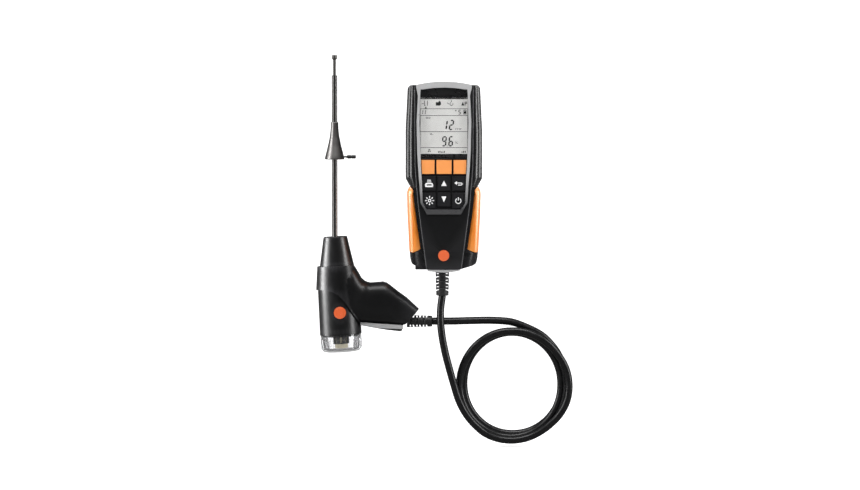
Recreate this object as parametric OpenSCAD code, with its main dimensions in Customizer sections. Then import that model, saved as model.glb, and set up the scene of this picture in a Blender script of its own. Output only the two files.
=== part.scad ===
// Portable flue-gas analyser: a hand-held instrument, a hose and a probe handle
// with a steel probe tube and a sliding stop cone. Millimetres.
// Frame: +X right, +Z up along the instrument, front faces -Y. The origin is the
// centre of the lower rear magnet's face, in the plane y = 0.

/* [Instrument] */
// Width across the side rails
body_w = 81.2; // [80:0.2:83]
// Height of the housing with its outlet plate
body_h = 201; // [200:0.5:204]
// Depth from the magnet faces to the bezel
body_d = 44; // [44:0.1:45]
// Housing wall
wall = 2.2; // [2:0.1:2.4]
// Depth at which the two housing shells meet
split_y = -18; // [-19:0.5:-17]
// Travel of every key
key_travel = 0.8; // [0.4:0.1:0.8]

/* [Hose] */
// Outside diameter of the twin-channel hose
hose_d = 7.9; // [7.5:0.1:8]
// Mean radius of the coil
coil_r = 55.8; // [54:0.2:57]
// Depth between one turn of the coil and the next
coil_pitch = 8.2; // [8.1:0.1:8.5]

/* [Probe] */
// Outside diameter of the probe tube
tube_d = 6; // [5.8:0.1:6.2]
// Length of the stop cone
cone_l = 39.5; // [36:0.5:41]
// Largest radius of the stop cone
cone_r = 10.3; // [9.6:0.1:11]

/* [Handle] */
// Radius of the barrel where it meets the filter cap
barrel_r = 22.2; // [22:0.1:22.4]
// Radius of the collar at its lower edge
collar_r = 23.7; // [23.3:0.1:24]
// Lean of the barrel against the probe tube
handle_tilt = 3.2; // [2.8:0.1:3.6]
// Height of the clear filter cap
cap_h = 18; // [17:0.5:19]

/* [Hidden] */
$fn = 64;

gap = 0.15;          // clearance between parts that only fit together
slip = 0.05;         // radial clearance of a shaft in its hole
far = 400;           // longer than any part, for cutting blocks

// Stretch of the housing tables when the driving sizes change
kx = body_w / 81.2;
kz = body_h / 201;

// Depths of the instrument, back to front
back_y = -1;                    // back of the rear shell; the magnets stand proud to y = 0
bezel_y = -body_d;
panel_y = bezel_y + 1;          // raised centre panel
ledge_y = panel_y + 0.9;        // seat of the bezel, and front of window and deck
window_t = 1;
mask_t = 0.3;
lcd_y = ledge_y + window_t + mask_t;
lcd_t = 2;
light_t = 3.6;
board_y = lcd_y + lcd_t + light_t + 0.2;
board_t = 1.6;
deck_t = 2;
flange_y = ledge_y + deck_t + gap;
flange_t = 0.8;
mat_y = flange_y + flange_t + key_travel + 0.2;
side_y = -26;                   // where the side turns into the front shoulder
back_round = 7;

// Half widths of the housing by height: corner blocks, beside the grips, notch, rails
rail_table = [[-101, 33.4], [-90.5, 34.7], [-86, 35.7], [-80, 36.2], [-79.8, 32.2],
              [-10.6, 33.4], [-10.4, 35.6], [-8.4, 37], [-2.1, 40.4], [1, 40.6], [50, 40.6],
              [92, 38.5], [101, 38]];
// Half widths of the raised centre panel by height
panel_table = [[-101, 18], [-94, 18.9], [-62, 23.2], [-29, 27.4], [11, 30.6], [101, 31]];
// Width of the strip between panel and shoulder by height
strip_table = [[-101, 1], [-80, 1], [-79.8, 3.2], [-10.6, 3.8], [-10.4, 1], [101, 1]];
// How far the shoulder's front edge lies below the panel, deeper under the rubber grips
sunk_table = [[-101, 0.8], [-80, 0.8], [-79.8, 4.2], [-10.6, 4.2], [-10.4, 0.8], [101, 0.8]];
housing_z = [-101, -90.5, -86, -80, -79.8, -62, -29, -10.6, -10.4, -8.4, -2.1, 1, 27, 50, 71,
             92, 101];
cavity_z = [-92, -90, -86, -82.3, -82, -62, -29, -8.4, -8.2, -4, 2, 8, 27, 50, 71, 92, 94];
// Shoulder that runs on past the ends of the side recesses: [height, half width]
low_fill = [[-80.3, 36.2], [-76, 36.3]];
top_fill = [[-14, 32.2], [-10, 35.9]];
shoulder_steps = 8;

function rail(z) = lookup(z, rail_table) * kx;
function panel(z) = lookup(z, panel_table) * kx;
function strip(z) = lookup(z, strip_table);
function sunk(z) = lookup(z, sunk_table);

// Quarter ellipse from the side at [w, side_y] to the shoulder's front edge at [s, y]
function shoulder(w, s, y) =
    [for (i = [0:shoulder_steps]) let (a = 90 * i / shoulder_steps)
        [s + (w - s) * cos(a), side_y + (y - side_y) * sin(a)]];

// Right half of a housing section, from the back round over the shoulder to the panel
function half_section(w, p, s, back, front, shoulder_y) = concat(
    [for (a = [0:22.5:90]) [w - back_round * (1 - sin(a)), back - back_round * (1 - cos(a))]],
    shoulder(w, s, shoulder_y),
    [[s - 0.1, front + 0.75], [p, front + 0.5], [p - 0.5, front]]);

function mirrored(half) =
    concat(half, [for (i = [len(half) - 1:-1:0]) [-half[i][0], half[i][1]]]);

// Reversed, so that the ring turns counterclockwise seen from above
function at_height(section, z) =
    [for (i = [len(section) - 1:-1:0]) [section[i][0], section[i][1], z]];

function housing_ring(z) =
    let (p = panel(z))
    at_height(mirrored(half_section(rail(z), p, p + strip(z), back_y, panel_y,
                                    panel_y + sunk(z))), z * kz);

// Cavity: the housing section moved in by the wall, and kept that far from every step
function cavity_ring(z) =
    let (lo = z - wall, hi = z + wall,
         w = min(rail(lo), rail(hi)) - wall,
         p = min(panel(lo), panel(hi)) - wall,
         s = min(p + max(strip(lo), strip(hi)), w - 0.5),
         d = max(sunk(lo), sunk(hi)))
    at_height(mirrored(half_section(w, p, s, back_y - wall, panel_y + wall,
                                    panel_y + wall + d)), z * kz);

// Closed solid through rings of equally many points, each turning counterclockwise
// seen from the side of the ring after it
module loft(rings) {
    n = len(rings[0]);
    last = len(rings) - 1;
    points = [for (ring = rings) each ring];
    sides = [for (i = [0:last - 1], j = [0:n - 1])
        let (a = i * n + j, b = i * n + (j + 1) % n)
        each [[a, a + n, b + n], [a, b + n, b]]];
    polyhedron(points, concat(sides, [[for (j = [0:n - 1]) j]],
                              [[for (j = [n - 1:-1:0]) last * n + j]]), convexity = 10);
}

// Extrudes an outline drawn in X and Z from depth y0 back to depth y1
module slab(y0, y1) {
    translate([0, y1, 0]) rotate([90, 0, 0]) linear_extrude(y1 - y0) children();
}

module block(lo, hi) {
    translate(lo) cube(hi - lo);
}

module rod_y(at, r, l) {
    translate(at) rotate([-90, 0, 0]) cylinder(r = r, h = l);
}

module rod_x(at, r, l) {
    translate(at) rotate([0, 90, 0]) cylinder(r = r, h = l);
}

module rod_z(at, r, l) {
    translate(at) cylinder(r = r, h = l);
}

// Housing

arc_fn = 360;                // for circles so large that 64 sides would show
top_r = 130;                 // arch of the top end
top_z = 100.5;
corner = 4.9;
corner_x = 33.6;
corner_z = 92;
arch_half = 30.5;

// Front outline of both shells and of the silver band over the top
module silhouette() {
    scale([kx, kz]) {
        intersection() {
            translate([0, top_z - top_r]) circle(r = top_r, $fn = arc_fn);
            translate([-arch_half, 0]) square([2 * arch_half, far]);
        }
        for (s = [-1, 1]) translate([s * corner_x, corner_z]) circle(r = corner);
        translate([-corner_x, 0]) square([2 * corner_x, corner_z + corner]);
        translate([-43, 0]) square([86, corner_z]);
        polygon([[-43, 1], [-43, -90.4], [-34.7, -90.4], [-33.6, -92.2], [-30.6, -93.8],
                 [-17.6, -97.4], [-14, -98], [14, -98], [17.6, -97.4], [30.6, -93.8],
                 [33.6, -92.2], [34.7, -90.4], [43, -90.4], [43, 1]]);
    }
}

function fill_ring(q) =
    let (p = panel(q[0]))
    at_height(mirrored(half_section(q[1] * kx, p, p + 1, back_y - 1, panel_y, panel_y + 0.8)),
              q[0] * kz);

// Ends of the recesses as seen from the front: slanted below, along the notch above
module recess_ends() {
    for (s = [-1, 1]) scale([s * kx, kz]) {
        polygon([[22.6, -79.95], [32.2, -79.95], [24.2, -76.4], [22.6, -76.4]]);
        polygon([[30.7, -13.8], [50, -13.8], [50, -10.45], [30.7, -10.45]]);
    }
}

module housing_solid() {
    intersection() {
        union() {
            loft([for (z = housing_z) housing_ring(z)]);
            intersection() {
                union() {
                    loft([for (q = low_fill) fill_ring(q)]);
                    loft([for (q = top_fill) fill_ring(q)]);
                }
                slab(-60, 20) recess_ends();
            }
        }
        slab(-60, 20) silhouette();
    }
}

// Half widths of the bezel's opening by height
opening_table = [[92.2, 24.6], [87, 25], [58, 25.8], [11, 24.3], [-12, 22.9], [-27, 22.5],
                 [-34.3, 18]];
// Half widths of the bezel's outer edge by height
bezel_table = [[94, 29.2], [85.6, 27.4], [58, 28.8], [28, 28.2], [11, 27.3], [-12, 25.6],
               [-27, 24.8], [-39.5, 18]];

function outline(table, grow) = concat(
    [for (q = table) [(q[1] + grow) * kx, (q[0] + (q[0] < -30 ? -grow : 0)) * kz]],
    [for (i = [len(table) - 1:-1:0])
        [-(table[i][1] + grow) * kx, (table[i][0] + (table[i][0] < -30 ? -grow : 0)) * kz]]);

// Opening with its arched top, grown all round
module opening(grow) {
    polygon(outline(opening_table, grow));
    intersection() {
        translate([0, (94.1 - top_r) * kz + grow]) circle(r = top_r, $fn = arc_fn);
        translate([-(24.6 + grow) * kx, 60]) square([2 * (24.6 + grow) * kx, 50]);
    }
}

// Outer edge of the bezel; its upper band runs out over the top end
module bezel_edge(grow) {
    polygon(outline(bezel_table, grow));
    polygon([[-29.2 - grow, 93.9 * kz], [-29.9 - grow, 110], [29.9 + grow, 110],
             [29.2 + grow, 93.9 * kz]]);
}

screw_x = 30;
screw_top = 84;
screw_low_x = 13;
screw_low = -88;
boss_r = 3.6;
thread_r = 1.5;
usb_z = 62;
badge_at = [-0.3, -82.9 * kz];
badge_r = 5.85;
plug_x = [-30.3, -18];
plug_y = [-32, -16];
plug_stem = [-24.1, -24];
ir_x = 9;
magnet_r = 11;
magnet_t = 2.4;
magnet_top = 62;

module screw_places() {
    for (s = [-1, 1]) {
        translate([s * screw_x, 0, screw_top]) children();
        translate([s * screw_low_x, 0, screw_low]) children();
    }
}

module cavity() {
    difference() {
        loft([for (z = cavity_z) cavity_ring(z)]);
        screw_places() rod_y([0, panel_y + 1, 0], boss_r, -panel_y - 3);
    }
}

module plug_opening() {
    block([plug_x[0] - gap, plug_y[0] - gap, -110], [plug_x[1] + gap, plug_y[1] + gap, -86]);
}

module outlet_bore() {
    rod_z([outlet_x, hose_y, -110], 5.55, 20);
}

module front_shell() color([0.1, 0.1, 0.11]) difference() {
    intersection() {
        housing_solid();
        block([-60, -60, -120], [60, split_y - gap / 2, 120]);
    }
    cavity();
    slab(-60, ledge_y) bezel_edge(gap);
    slab(-60, -30) opening(0.9);
    block([30, -32, usb_z - 5.2], [60, -27, usb_z + 5.2]);
    block([-ir_x - gap, -31 - gap, 90], [ir_x + gap, -23 + gap, 120]);
    plug_opening();
    outlet_bore();
    screw_places() rod_y([0, -36, 0], thread_r, 30);
    rod_y([badge_at[0], panel_y - 1, badge_at[1]], badge_r + gap, 1.4);
}

module rear_shell() color([0.13, 0.13, 0.14]) difference() {
    intersection() {
        housing_solid();
        block([-60, split_y + gap / 2, -120], [60, 20, 120]);
    }
    cavity();
    plug_opening();
    screw_places() rod_y([0, -30, 0], thread_r, 40);
    screw_places() rod_y([0, -3.5, 0], 3, 10);
    for (z = [0, magnet_top]) rod_y([0, -magnet_t, z], magnet_r + gap, 10);
}

module rear_magnets() color([0.75, 0.76, 0.78]) {
    for (z = [0, magnet_top]) difference() {
        rod_y([0, -magnet_t, z], magnet_r, magnet_t);
        // groove between the steel cup and the magnet
        difference() {
            rod_y([0, -0.4, z], magnet_r - 1.6, 1);
            rod_y([0, -0.5, z], magnet_r - 2.3, 2);
        }
    }
}

module housing_screws() color([0.7, 0.7, 0.72]) screw_places() difference() {
    union() {
        rod_y([0, -30, 0], thread_r - slip, 27);
        rod_y([0, -3.45, 0], 2.8, 1.9);
    }
    rod_y([0, -2.6, 0], 1.2, 3);
}

// Rubber side grips: rings of outer points followed by inner points
grip_z = [-79.6, -78.6, -70, -58, -38, -25, -19, -15.8, -13.6, -11.8, -10.8];
grip_out_table = [[-79.6, 36.2], [-78.6, 36.6], [-38, 38.6], [-19, 39.1], [-15.8, 38.9],
                  [-13.6, 38.1], [-11.8, 37.1], [-10.8, 36.2]];
// Crease between the inner and the outer facet
ridge_table = [[-79.6, 32.1], [-19, 34.2], [-15.8, 33.2], [-13.6, 33.3], [-10.8, 33.6]];
// How far the crease lies below the panel; it runs down towards the notch
crease_table = [[-79.6, 1.6], [-78.6, 1.1], [-19, 1.1], [-15.8, 1.6], [-13.6, 2.1], [-10.8, 2.5]];
grip_back_y = -8.5;
grip_steps = 5;

function grip_ring(z) =
    let (w = rail(z) + gap, s = panel(z) + strip(z) + gap, y_in = panel_y + sunk(z) - gap,
         out = lookup(z, grip_out_table) * kx, ridge = lookup(z, ridge_table) * kx,
         ridge_y = panel_y + lookup(z, crease_table), in_y = panel_y + 2.9)
    at_height(concat(
        [[w, grip_back_y], [(w + out) / 2, grip_back_y - 0.2], [out - 0.4, grip_back_y - 1.4],
         [out, grip_back_y - 3], [out, side_y - 1], [out - 0.3, side_y - 3.2],
         [out - 1, side_y - 6], [(out + ridge) / 2 + 0.6, (side_y - 6 + ridge_y) / 2 - 1.1],
         [ridge + 0.9, ridge_y + 0.9], [ridge + 0.4, ridge_y + 0.2], [ridge, ridge_y],
         [ridge - 0.5, ridge_y + 0.15], [s + 0.5, in_y - 0.3], [s, in_y + 0.2]],
        [for (i = [grip_steps:-1:0]) let (a = 90 * i / grip_steps)
            [s + (w - s) * cos(a), side_y + (y_in - side_y) * sin(a)]]), z * kz);

module right_grip() color([0.9, 0.35, 0.08]) difference() {
    loft([for (z = grip_z) grip_ring(z)]);
    // lower inner corner, and the slanted end that follows the notch
    slab(-60, 0) scale([kx, kz]) {
        polygon([[20, -82], [32.3, -82], [32.3, -79.7], [24.4, -76.2], [20, -74.3]]);
        polygon([[28, -18.8], [32.7, -13.7], [36.1, -10], [36.1, -9], [28, -9]]);
    }
    // finger ribs on the outside
    for (z = [-66:8:-26]) block([38.6, -31, z - 1], [50, -15, z + 1]);
}

module left_grip() mirror([1, 0, 0]) right_grip();

// Front panel

module bezel() color([0.76, 0.77, 0.78]) slab(bezel_y, ledge_y) difference() {
    intersection() {
        bezel_edge(0);
        silhouette();
    }
    opening(0);
}

lcd_top = 82.2;
lcd_low = 24.4;
deck_top = 19.3;

module band(lo, hi) {
    translate([-50, lo * kz]) square([100, (hi - lo) * kz]);
}

module display_window() color([0.8, 0.85, 0.85, 0.4]) slab(ledge_y, ledge_y + window_t)
    intersection() {
        opening(0.75);
        band(deck_top + 0.1, 110);
    }

module display_mask() color([0.05, 0.05, 0.06])
    slab(ledge_y + window_t, ledge_y + window_t + mask_t) difference() {
        intersection() {
            opening(0.75);
            band(deck_top + 0.1, 110);
        }
        translate([-25.1 * kx, lcd_low * kz]) square([50.2 * kx, (lcd_top - lcd_low) * kz]);
    }

module lcd_panel() color([0.72, 0.76, 0.7]) difference() {
    block([-25.6 * kx, lcd_y, 21 * kz], [25.6 * kx, lcd_y + lcd_t, 84 * kz]);
    // stepped edge of the rear glass
    block([-30, lcd_y + 1, 0], [30, lcd_y + 3, 23 * kz]);
}

module backlight() color([0.92, 0.93, 0.9]) {
    block([-24.6 * kx, lcd_y + lcd_t, 23.5 * kz], [24.6 * kx, board_y - 0.1, 83 * kz]);
    block([-3, lcd_y + lcd_t + 1, 83 * kz], [3, board_y - 0.1, 86 * kz]);
}

// Keys: [x from, x to, z from, z to]
middle_x = 6.7;
key_side_in = 8.8;
fk_low = 3.3;
fk_top = 17.9;

module key_outline(x0, x1, z0, z1, grow) {
    intersection() {
        translate([x0 * kx - grow, z0 * kz - grow])
            square([(x1 - x0) * kx + 2 * grow, (z1 - z0) * kz + 2 * grow]);
        polygon(outline(opening_table, grow - 0.75));
    }
}

key_clear = 0.25;
key_rise = 1;      // height of the small keys over the deck

module key(x0, x1, z0, z1, rise) {
    slab(ledge_y - rise, flange_y + flange_t) key_outline(x0, x1, z0, z1, 0);
    slab(flange_y, flange_y + flange_t) key_outline(x0 - 0.5, x1 + 0.5, z0 - 0.5, z1 + 0.5, 0);
}

module function_key_left() color([0.92, 0.42, 0.1]) key(-25, -10, fk_low, fk_top, key_rise);
module function_key_middle() color([0.92, 0.42, 0.1]) key(-7.8, 8, fk_low, fk_top, key_rise);
module function_key_right() color([0.92, 0.42, 0.1]) key(10.2, 25, fk_low, fk_top, key_rise);
module print_key() color([0.08, 0.08, 0.09]) key(-23, -key_side_in, -14.2, 0.8, key_rise);
module light_key() color([0.08, 0.08, 0.09]) key(-23, -key_side_in, -33, -16.6, key_rise);
module up_key() color([0.08, 0.08, 0.09]) key(-middle_x, middle_x, -14.4, 0.8, key_rise);
module down_key() color([0.08, 0.08, 0.09]) key(-middle_x, middle_x, -31, -16.2, key_rise);
module escape_key() color([0.08, 0.08, 0.09]) key(key_side_in, 23, -14.2, 0.8, key_rise);
module power_key() color([0.08, 0.08, 0.09]) key(key_side_in, 23, -33, -16.6, key_rise);

module keypad_deck() color([0.07, 0.07, 0.08]) difference() {
    slab(ledge_y, ledge_y + deck_t) intersection() {
        opening(0.75);
        band(-50, deck_top);
    }
    slab(-60, -30) {
        key_outline(-25, -10, fk_low, fk_top, key_clear);
        key_outline(-7.8, 8, fk_low, fk_top, key_clear);
        key_outline(10.2, 25, fk_low, fk_top, key_clear);
        for (s = [-1, 1]) {
            key_outline(min(s * 23, s * key_side_in), max(s * 23, s * key_side_in), -14.2, 0.8,
                        key_clear);
            key_outline(min(s * 23, s * key_side_in), max(s * 23, s * key_side_in), -33, -16.6,
                        key_clear);
        }
        key_outline(-middle_x, middle_x, -14.4, 0.8, key_clear);
        key_outline(-middle_x, middle_x, -31, -16.2, key_clear);
    }
}

module keypad_mat() color([0.5, 0.5, 0.52]) {
    slab(board_y - 0.9, board_y - 0.05) intersection() {
        opening(0.5);
        band(-36, 18);
    }
    for (q = [[-17, 10.6], [0, 10.6], [17, 10.6], [-15, -6.7], [0, -6.8], [15, -6.7],
              [-15, -24], [0, -23.6], [15, -24]])
        rod_y([q[0] * kx, mat_y, q[1] * kz], 3, board_y - mat_y - 0.5);
}

module main_board() color([0.1, 0.35, 0.2]) difference() {
    block([-25, board_y, -44], [25, board_y + board_t, 89.5]);
    for (x = [-22, 22], z = [-41, 87]) rod_y([x, -60, z], 1.2, 60);
}

module processor_chip() color([0.06, 0.06, 0.06]) {
    block([-7, board_y + board_t, -18], [7, board_y + board_t + 1.6, -4]);
    for (x = [-6:1.5:6]) block([x - 0.3, board_y + board_t, -19], [x + 0.3, board_y + board_t + 0.4, -3]);
}

module usb_socket() color([0.75, 0.75, 0.77]) difference() {
    block([31, -31.6, usb_z - 4.8], [39.6 * kx, -27.4, usb_z + 4.8]);
    block([33, -31, usb_z - 4.2], [60, -28, usb_z + 4.2]);
}

module infrared_window() color([0.15, 0.03, 0.05]) intersection() {
    block([-ir_x, -31, 94.3 * kz], [ir_x, -23, 110]);
    slab(-60, 0) silhouette();
}

module body_badge() color([0.92, 0.42, 0.1])
    rod_y([badge_at[0], panel_y - 0.3, badge_at[1]], badge_r, 0.65);

module hose_outlet_plate() color([0.7, 0.71, 0.72]) difference() {
    slab(-40, -6) scale([1, kz]) polygon([[-17.6, -98.05], [-17, -99.6], [-9, -100.6], [0, -101],
                                          [8, -100.6], [16.6, -99.2], [17.2, -98.05]]);
    rod_z([outlet_x, hose_y, -110], boot_root_r + 0.1, 20);
}

// Inside the instrument

cell_r = 9;
cell_x = 9.6;
cell_low = 19;
cell_l = 65;

module battery_pack() color([0.15, 0.35, 0.6]) {
    for (s = [-1, 1]) {
        rod_z([s * cell_x, -15, cell_low], cell_r, cell_l);
        rod_z([s * cell_x, -15, cell_low + cell_l], 3.2, 1.2);
    }
    block([-cell_x, -23.2, cell_low + 3], [cell_x, -6.8, cell_low + cell_l - 3]);
}

pump_at = [14, -17, -32];

module gas_pump() color([0.12, 0.12, 0.13]) {
    block(pump_at - [11, 10, 9], pump_at + [11, 10, 9]);
    rod_x([-4.5, -22, -30], 1.8, 8);
    rod_x([-4.5, -14, -36], 1.8, 8);
    block(pump_at + [-9, -11.5, -7], pump_at + [9, -9, 7]);
}

module pump_motor() color([0.72, 0.72, 0.74]) {
    rod_z(pump_at + [0, 0, 9.1], 9.4, 19);
    rod_z(pump_at + [0, 0, 28.1], 3, 1.6);
    for (s = [-1, 1]) block(pump_at + [s * 5 - 0.4, -1.5, 28.1], pump_at + [s * 5 + 0.4, 1.5, 31]);
}

cell_places = [[-15.5, 3], [-15.5, -20]];
sensor_r = 9.8;

module sensor_block() color([0.85, 0.84, 0.8]) difference() {
    block([-26.4, -9.4, -31.4], [-4.6, -4, 15]);
    for (c = cell_places) rod_y([c[0], -10, c[1]], 3.3, 3.6);
    rod_z([-15.5, -6.4, -40], 1.2, 60);
}

module gas_cell(c) {
    rod_y([c[0], -26, c[1]], sensor_r, 16.5);
    rod_y([c[0], -9.5, c[1]], 3.2, 2.8);
    for (a = [30, 150, 270]) rod_y([c[0] + 6 * cos(a), -29.5, c[1] + 6 * sin(a)], 0.7, 3.6);
}

module oxygen_cell() color([0.86, 0.86, 0.84]) gas_cell(cell_places[0]);
module carbon_monoxide_cell() color([0.2, 0.3, 0.55]) gas_cell(cell_places[1]);

module draught_sensor() color([0.1, 0.1, 0.11]) {
    block([5, board_y + board_t, -58], [21, board_y + board_t + 6, -46]);
    for (x = [10, 16]) rod_y([x, board_y + board_t + 6, -52], 1.5, 7);
}

// Tube from the trap up to the pump
module pump_hose() color([0.8, 0.8, 0.76]) difference() {
    union() {
        rod_z([-9, -20, -49], 2.6, 9);
        translate([-4, -20, -40]) rotate([90, 0, 0])
            rotate_extrude(angle = 90, start = 90) translate([5, 0]) circle(r = 2.6);
    }
    rod_z([-9, -20, -50], 1.5, 10);
}

trap_lo = [-27.6, -30, -78];
trap_hi = [-3, -12, -52];

module condensate_trap() color([0.8, 0.83, 0.84]) difference() {
    union() {
        block(trap_lo, trap_hi);
        rod_z([-9, -20, -53], 1.4, 6);
        rod_z([plug_stem[0], plug_stem[1], -82.5], 4.4, 6);
    }
    block(trap_lo + [1.4, 1.4, 1.4], trap_hi - [1.4, 1.4, 1.4]);
    rod_z([plug_stem[0], plug_stem[1], -90], 2.4 + slip, 14);
    rod_z([-9, -20, -54], 0.8, 10);
}

module drain_plug() color([0.05, 0.05, 0.06]) {
    difference() {
        block([plug_x[0], plug_y[0], -98.3 * kz], [plug_x[1], plug_y[1], -86.4]);
        block([plug_x[0] - 1, plug_y[0] + 5, -97 * kz], [plug_x[0] + 1, plug_y[1] - 5, -95 * kz]);
    }
    rod_z([plug_stem[0], plug_stem[1], -87], 2.4, 10);
}

// Slotted bend relief along +Z with a ball seat in its free end
ball_r = hose_d / 2;
seat_back = 1;      // the seat's centre lies this far inside the free end
seat_r = ball_r + 0.1;
bore_r = seat_r * cos(50);
relief_edge = 0.8;
slot_first = 5;     // the slot nearest the free end
slot_pitch = 7;
slot_h = 1.5;
slot_in = 3.6;      // half width of the spine left between the slots
slot_slant = 1.3;   // the slots run towards the root on their way in
eye = [2.2, 1.3];   // width and height of the eyes between the slots
eye_x = 4.8;
eye_step = 4.3;     // from a slot to its eye

// A pair of slanted slots, and the eyes next to them, right through along Y
module slots(z, eyes) {
    for (m = [0, 1]) mirror([m, 0, 0]) rotate([90, 0, 0]) translate([0, 0, -10])
        linear_extrude(20) polygon([[slot_in, z - slot_slant - slot_h / 2], [9, z - slot_h / 2],
                                    [9, z + slot_h / 2], [slot_in, z - slot_slant + slot_h / 2]]);
    if (eyes) for (s = [-1, 1])
        translate([s * eye_x - eye[0] / 2, -10, z - eye_step - eye[1] / 2]) cube([eye[0], 20, eye[1]]);
}

module bend_relief(l, r0, r1) {
    rows = floor((l - slot_first - 1) / slot_pitch);
    seat = l - seat_back;
    difference() {
        rotate_extrude() polygon([[0, 0], [r0, 0], [r1, l - relief_edge], [r1 - relief_edge, l], [0, l]]);
        for (i = [0:rows - 1]) {
            slots(l - slot_first - i * slot_pitch, true);
            rotate([0, 0, 90]) slots(l - slot_first - (i + 0.45) * slot_pitch, false);
        }
        rotate_extrude() polygon(concat(
            [[0, -1], [bore_r, -1]],
            [for (a = [50:-20:10]) [seat_r * cos(a), seat - seat_r * sin(a)]],
            [[seat_r + 0.1, seat + 0.2], [seat_r + 0.9, l + 0.01], [0, l + 0.01]]));
    }
}

outlet_x = -1.6;
hose_y = -26;
boot_l = 28;
boot_root_r = 7.3;
boot_end_z = -126.3;

module instrument_boot() color([0.06, 0.06, 0.07]) {
    translate([outlet_x, hose_y, boot_end_z + boot_l]) rotate([180, 0, 0])
        bend_relief(boot_l, boot_root_r, 6.6);
}

// Hose: a spline through its centre points

coil_x = 72.8;
coil_z = -221.1;
coil_wide = 0.975;    // the coil hangs a little longer than it is wide
coil_tall = 1.025;
coil_front = -31;
// Radius of the turns against the mean radius, by the angle travelled
turn_table = [[180, 7.9], [195, 4.8], [205, 3.6], [221, 2.5], [240, 2.8], [270, 2], [295, 1.8],
              [310, 2.2], [325, 4.1], [341, 6.3], [367, 6.1], [395, 2.5], [420, 1], [450, -0.3],
              [540, 1.6], [630, -0.3], [720, -2.4], [810, -2.3], [900, -3.1], [990, -3],
              [1050, -1], [1080, 1.2], [1103, 3.3], [1125, 3.3], [1150, 4.2]];
handle_y = -22;
boot_z = -153.9;
handle_end_x = -12.3;

function coil_point(a) = let (r = coil_r + lookup(a, turn_table))
    [coil_x + coil_wide * r * cos(a), coil_front + coil_pitch * (a - 180) / 360,
     coil_z + coil_tall * r * sin(a)];

hose_points = concat(
    [[outlet_x, hose_y, boot_end_z + seat_back + 12], [outlet_x, hose_y, boot_end_z + seat_back],
     [-3.3, -28.3, -139], [-3.6, -31, -151.3], [-2.5, -32.3, -164.8], [-0.3, -32.6, -178.4],
     [2.7, -32.4, -191.9], [6.3, -31.8, -205.5]],
    [for (a = [180:15:1145]) coil_point(a)],
    [[82.4, -10.5, -158.9], [69, -12.2, -155], [50, -15, -153.6], [29.4, -18.5, -153.6],
     [8, -21.2, boot_z], [handle_end_x - seat_back, handle_y, boot_z],
     [handle_end_x - seat_back - 12, handle_y, boot_z]]);

// Catmull-Rom point between b and c
function spline(a, b, c, d, t) =
    0.5 * (2 * b + (c - a) * t + (2 * a - 5 * b + 4 * c - d) * t * t
           + (3 * b - a - 3 * c + d) * t * t * t);

spline_steps = 2;
hose_sides = 14;
hose_line = [for (i = [1:len(hose_points) - 3], k = [0:spline_steps - 1])
    spline(hose_points[i - 1], hose_points[i], hose_points[i + 1], hose_points[i + 2],
           k / spline_steps)];
hose_path = concat(hose_line, [hose_points[len(hose_points) - 2]]);

function unit(v) = v / norm(v);
function direction(i) =
    unit(hose_path[min(i + 1, len(hose_path) - 1)] - hose_path[max(i - 1, 0)]);

// The hose never runs along Y, so Y sets up the ring at every station
function hose_ring(i) =
    let (d = direction(i), u = unit(cross(d, [0, 1, 0])), v = cross(d, u))
    [for (k = [0:hose_sides - 1]) let (a = 360 * k / hose_sides)
        hose_path[i] + hose_d / 2 * (u * cos(a) + v * sin(a))];

// Rings of a half ball behind the first station, or past the last one
ball_angles = [80, 60, 40, 20];

function shrunk(ring, centre, shift, k) = [for (q = ring) centre + (q - centre) * k + shift];

function ball_ring(i, way, a) =
    shrunk(hose_ring(i), hose_path[i], way * ball_r * sin(a) * direction(i), cos(a));

module hose() color([0.05, 0.05, 0.06]) {
    last = len(hose_path) - 1;
    loft(concat([for (a = ball_angles) ball_ring(0, -1, a)],
                [for (i = [0:last]) hose_ring(i)],
                [for (k = [len(ball_angles) - 1:-1:0]) ball_ring(last, 1, ball_angles[k])]));
}

// Handle: its own frame has the nose top at 0 and the barrel along -Z

nose_at = [-115.4, handle_y, -63.8];
nose_top_r = 12.6;
nose_low_r = 18.2;
nose_h = 30.8;
nose_edge = 0.5;
spigot_r = 14.8;
collar_low = 57.4;
barrel_top = 35;
barrel_low = 104;
barrel_wall = 2;
cage_r = 8.4;
cage_h = 10;
filter_r = 6.9;

barrel_slim = 0.5;    // the barrel is this much slimmer at the collar
barrel_shoulder = barrel_r - 2.1;

// The barrel's outside, grown by a clearance: inside the collar it narrows to its shoulder
module barrel_body(grow) {
    rotate_extrude($fn = arc_fn)
        polygon([[0, -barrel_low], [barrel_r + grow, -barrel_low],
                 [barrel_r - barrel_slim + grow, -collar_low], [barrel_shoulder + grow, -barrel_top],
                 [0, -barrel_top]]);
}

module on_handle() {
    translate(nose_at) rotate([0, -handle_tilt, 0]) children();
}

tube_x = -115.9;
tube_r = tube_d / 2;
tube_low = -84;
tube_top = 106.8;

module nose_cone() color([0.07, 0.07, 0.08]) difference() {
    on_handle() difference() {
        union() {
            translate([0, 0, -nose_h])
                cylinder(r1 = nose_low_r, r2 = nose_top_r, h = nose_h - nose_edge);
            translate([0, 0, -nose_edge])
                cylinder(r1 = nose_top_r, r2 = nose_top_r - nose_edge, h = nose_edge);
            translate([0, 0, -nose_h - 3.4]) cylinder(r = spigot_r, h = 4);
        }
        translate([0, 0, -nose_h + 2]) cylinder(r1 = 14.2, r2 = 10, h = nose_h - 6);
        translate([0, 0, -nose_h - 5]) cylinder(r = 12, h = 8);
    }
    rod_z([tube_x, handle_y, -100], tube_r + slip, 60);
}

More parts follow.
